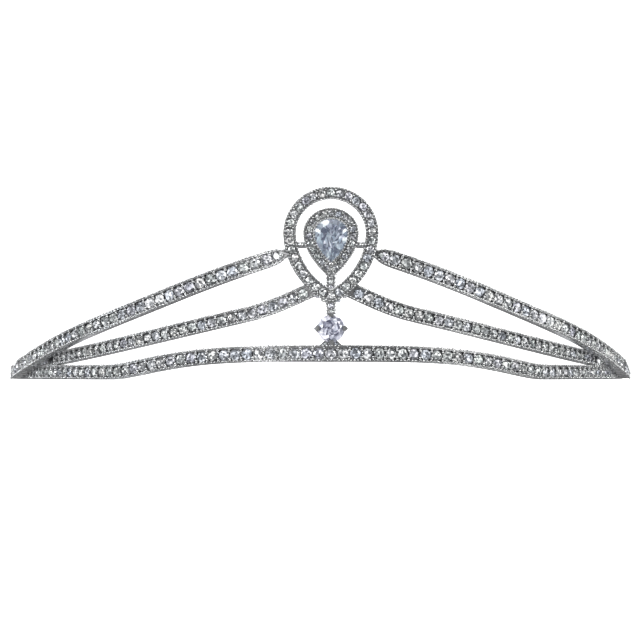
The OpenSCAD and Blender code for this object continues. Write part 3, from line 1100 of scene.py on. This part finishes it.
def pear_reflection_paint(x, z):
    """Mean painted light of the pear's facets at a place, and how far they stray from it."""
    dark_reflection_paint = spot(x, z, (-1.2, 0.5), 0.7)
    flash = spot(x, z, (-1.5, 1.8), 0.6)
    pale_reflection_paint = spot(x, z, (2.7, -1.1), 0.8)
    # A painted highlight over a painted dark reflection, and a paler painted reflection on the right
    mean = 0.38 - 0.55 * dark_reflection_paint + 0.65 * flash + 0.25 * pale_reflection_paint
    return mean, 0.36 - 0.3 * max(dark_reflection_paint, flash)


def round_sparkle_paint(x, z):
    """Painted sparkle, even over the round stone, with painted shade on the facets near the middle."""
    return 0.48 - 0.16 * spot(x, z, (0.3, 0.1), 2.0), 0.42


pear_up = HALO_UP - HALO_W / 2 - STONE_GAP
pear_r = HALO_R - HALO_W / 2 - STONE_GAP
pear_down = HALO_DOWN - HALO_W - STONE_GAP
PEAR = (pear_r, pear_up, pear_down, 1.9)
right_half = [drop(*PEAR, 168 * i / 22) for i in range(22)]
pear_outline = [(-p.x, p.z) for p in right_half] + [(0, -pear_down)]
pear_outline += [(p.x, p.z) for p in reversed(right_half[1:])]
large_stone(
    "pear_cut", pear_outline, (0, -pear_up / 5), (BACK_Y - PEAR_SEAT, RING_Z),
    (0.68, PEAR_CROWN, PEAR_PAVILION, 0.86), blue_glass, pear_reflection_paint, 5, "pear_stone",
)
large_stone(
    "round_cut", circle(28, ROUND_R), (0, 0), (BACK_Y - ROUND_SEAT, ROUND_Z),
    (0.66, ROUND_CROWN, ROUND_PAVILION, 0.85), violet_glass, round_sparkle_paint, 8,
    "round_stone",
)


# %% Ledge under the pear, and the grains around it
def band_around(name, shape, section):
    """A closed ring whose section is a list of (shift, depth) pairs."""
    points, faces, m = [], [], len(section)
    angles = [5 * i for i in range(72)]
    for a in angles:
        points += [on_face(drop_at(shape, a, shift)[0], depth) * MM for shift, depth in section]
    for i in range(len(angles)):
        for j in range(m):
            k, l = (i + 1) % len(angles), (j + 1) % m
            faces.append((i * m + j, i * m + l, k * m + l, k * m + j))
    mesh = bpy.data.meshes.new(name)
    mesh.from_pydata(points, [], faces)
    return mesh


ledge_low, ledge_top = PEAR_SEAT - 0.75, PEAR_SEAT - 0.3
bezel_section = [(0.12, ledge_low), (0.12, ledge_top), (-0.1, ledge_top), (-0.4, ledge_low)]
bezel = show("pear_bezel", band_around("pear_bezel", PEAR, bezel_section))
bezel.data.materials.append(band_metal)
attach(bezel, "root")
GRAIN_PITCH, GRAIN_R, GRAIN_SHIFT = 0.58, 0.26, 0.08
pear_line = drop_line(PEAR, GRAIN_SHIFT, PEAR_SEAT - BEAD_SINK)
bead_line("pear_grains", [(pear_line, True)], GRAIN_PITCH, GRAIN_R, 65, band_metal)

# %% [markdown]
# ## The CAD metal
#
# The metal itself is the CAD node and keeps its shape. Its mesh is loose triangles, so
# a short tree on it merges their corners and shades the curved faces smoothly, with the
# edges left sharp.


# %% Tree: merge and shade
def polish_tree():
    tree, given = new_tree("merge_and_shade", {"Reach": "Float", "Crease": "Float"})
    merged = add(
        tree, "GeometryNodeMergeByDistance", Geometry=given["Geometry"], Distance=given["Reach"]
    )
    faces = add(tree, "GeometryNodeSetShadeSmooth", {"domain": "FACE"}, Geometry=merged.outputs[0])
    angle = tree.nodes.new("GeometryNodeInputMeshEdgeAngle").outputs["Unsigned Angle"]
    sharp = add(
        tree, "FunctionNodeCompare", {"data_type": "FLOAT", "operation": "GREATER_THAN"},
        i0=angle, i1=given["Crease"],
    )
    edges = add(
        tree, "GeometryNodeSetShadeSmooth", {"domain": "EDGE"},
        Geometry=faces.outputs[0], Selection=sharp.outputs[0], Shade_Smooth=False,
    )
    close_tree(tree, edges.outputs[0])
    return tree


metal = cad["frame"]
metal.data.materials.clear()
metal.data.materials.append(band_metal)
polish = metal.modifiers.new("polish", "NODES")
polish.node_group = polish_tree()
set_inputs(polish, {"Reach": 0.000001, "Crease": math.radians(25)})
print("the metal has", len(metal.data.polygons), "triangles")

# %% [markdown]
# ## Studio
#
# A white dish stands in for the table and the backdrop. Polished metal shows whatever is
# around it, so photographers hang dark cards and a few bright soft lights, and the
# contrast between them draws every edge. Here the dish is kept out of the reflections
# and the world plays the dark cards.


# %% Floor and backdrop
def dish_mesh(flat, rise, height, steps=24, sides=96):
    profile = [(0.0, 0.0), (flat, 0.0)]
    for i in range(1, steps + 1):
        turn = math.pi / 2 * i / steps
        profile.append((flat + rise * math.sin(turn), rise * (1 - math.cos(turn))))
    profile.append((flat + rise, height))
    points = [(0, 0, 0)]
    for r, z in profile[1:]:
        for i in range(sides):
            turn = 2 * math.pi * i / sides
            points.append((r * math.cos(turn), r * math.sin(turn), z))
    faces = [(0, 1 + i, 1 + (i + 1) % sides) for i in range(sides)]
    for k in range(len(profile) - 2):
        for i in range(sides):
            j = (i + 1) % sides
            a, b = 1 + k * sides, 1 + (k + 1) * sides
            faces.append((a + i, b + i, b + j, a + j))
    mesh = bpy.data.meshes.new("dish")
    mesh.from_pydata(points, [], faces)
    for polygon in mesh.polygons:
        polygon.use_smooth = True
    return mesh


dish = show("dish", dish_mesh(1.3, 1.2, 3.0))
paper, tree, shader = new_material("paper")
where = tree.nodes.new("ShaderNodeTexCoord").outputs["Object"]
fibre = ramp(tree, noise(tree, where, 60.0), [(0.3, (0.86, 0.86, 0.86)), (0.7, (0.89, 0.89, 0.89))])
tree.links.new(fibre, shader.inputs["Base Color"])
shader.inputs["Roughness"].default_value = 0.9
shader.inputs["Emission Color"].default_value = (1, 1, 1, 1)
shader.inputs["Emission Strength"].default_value = 0.75
dish.data.materials.append(paper)
dish.visible_glossy = False
dish.visible_transmission = False

# %% World and lights
world = bpy.data.worlds.new("studio")
bpy.context.scene.world = world
world.use_nodes = True
sky = world.node_tree
where = sky.nodes.new("ShaderNodeTexCoord").outputs["Generated"]
shifted = add(sky, "ShaderNodeMapping", Vector=where, Location=(3.0, 1.0, 7.0))
patches = noise(sky, shifted.outputs["Vector"], 6.5, 2.0)
shade = ramp(
    sky, patches,
    [(0.36, (0.076, 0.076, 0.078)), (0.5, (0.203, 0.204, 0.205)), (0.64, (0.62, 0.625, 0.635))],
)
sky.links.new(shade, sky.nodes["Background"].inputs["Color"])


def soft_light(name, at, size, watts, colour=(1, 1, 1)):
    data = bpy.data.lights.new(name, "AREA")
    data.shape = "RECTANGLE"
    data.size, data.size_y = size
    data.energy = watts
    data.color = colour
    light = bpy.data.objects.new(name, data)
    bpy.context.scene.collection.objects.link(light)
    light.location = at
    aim = Vector((0, 0, 0.015)) - Vector(at)
    light.rotation_euler = aim.to_track_quat("-Z", "Y").to_euler()
    light.visible_camera = False
    return light


soft_light("key", (-0.55, -0.85, 0.75), (0.4, 0.4), 3.7, (1.0, 0.99, 0.99))
soft_light("fill", (0.75, -0.75, 0.35), (0.25, 0.4), 3.2, (0.98, 1.0, 0.97))
soft_light("top", (0.0, 0.05, 1.0), (1.3, 1.0), 3.2)
soft_light("back", (0.2, 0.95, 0.6), (1.2, 0.8), 2.2)
soft_light("low", (-0.25, -1.0, 0.12), (0.15, 0.08), 0.3)
soft_light("left", (-1.2, -0.35, 0.35), (0.4, 0.3), 4.4, (0.93, 0.98, 1.0))
soft_light("right", (1.2, -0.35, 0.35), (0.4, 0.3), 2.6, (1.0, 1.0, 0.97))

# %% [markdown]
# ## Camera
#
# The photo looks at the front from a little to the left, from about the height of the
# lower edge, through a long lens. The camera stands 700 mm from the ornament.

# %% Camera
LENS_PX = 3500.0
WIDTH_PX = 640.0
AWAY = 700.0
AZIMUTH = math.radians(-2.4)
TURN = math.radians(-2.22)
PITCH = math.radians(0.737)
camera_data = bpy.data.cameras.new("camera")
camera_data.sensor_width = 36.0
camera_data.lens = LENS_PX / WIDTH_PX * camera_data.sensor_width
camera = bpy.data.objects.new("camera", camera_data)
bpy.context.scene.collection.objects.link(camera)
camera.location = (
    AWAY * math.sin(AZIMUTH) * MM,
    (FRONT_Y - AWAY * math.cos(AZIMUTH)) * MM,
    3.0 * MM,
)
camera.rotation_euler = (math.pi / 2 + PITCH, 0, TURN)
camera_data.clip_start = 0.01
bpy.context.scene.camera = camera
bpy.context.scene.view_settings.view_transform = "Standard"
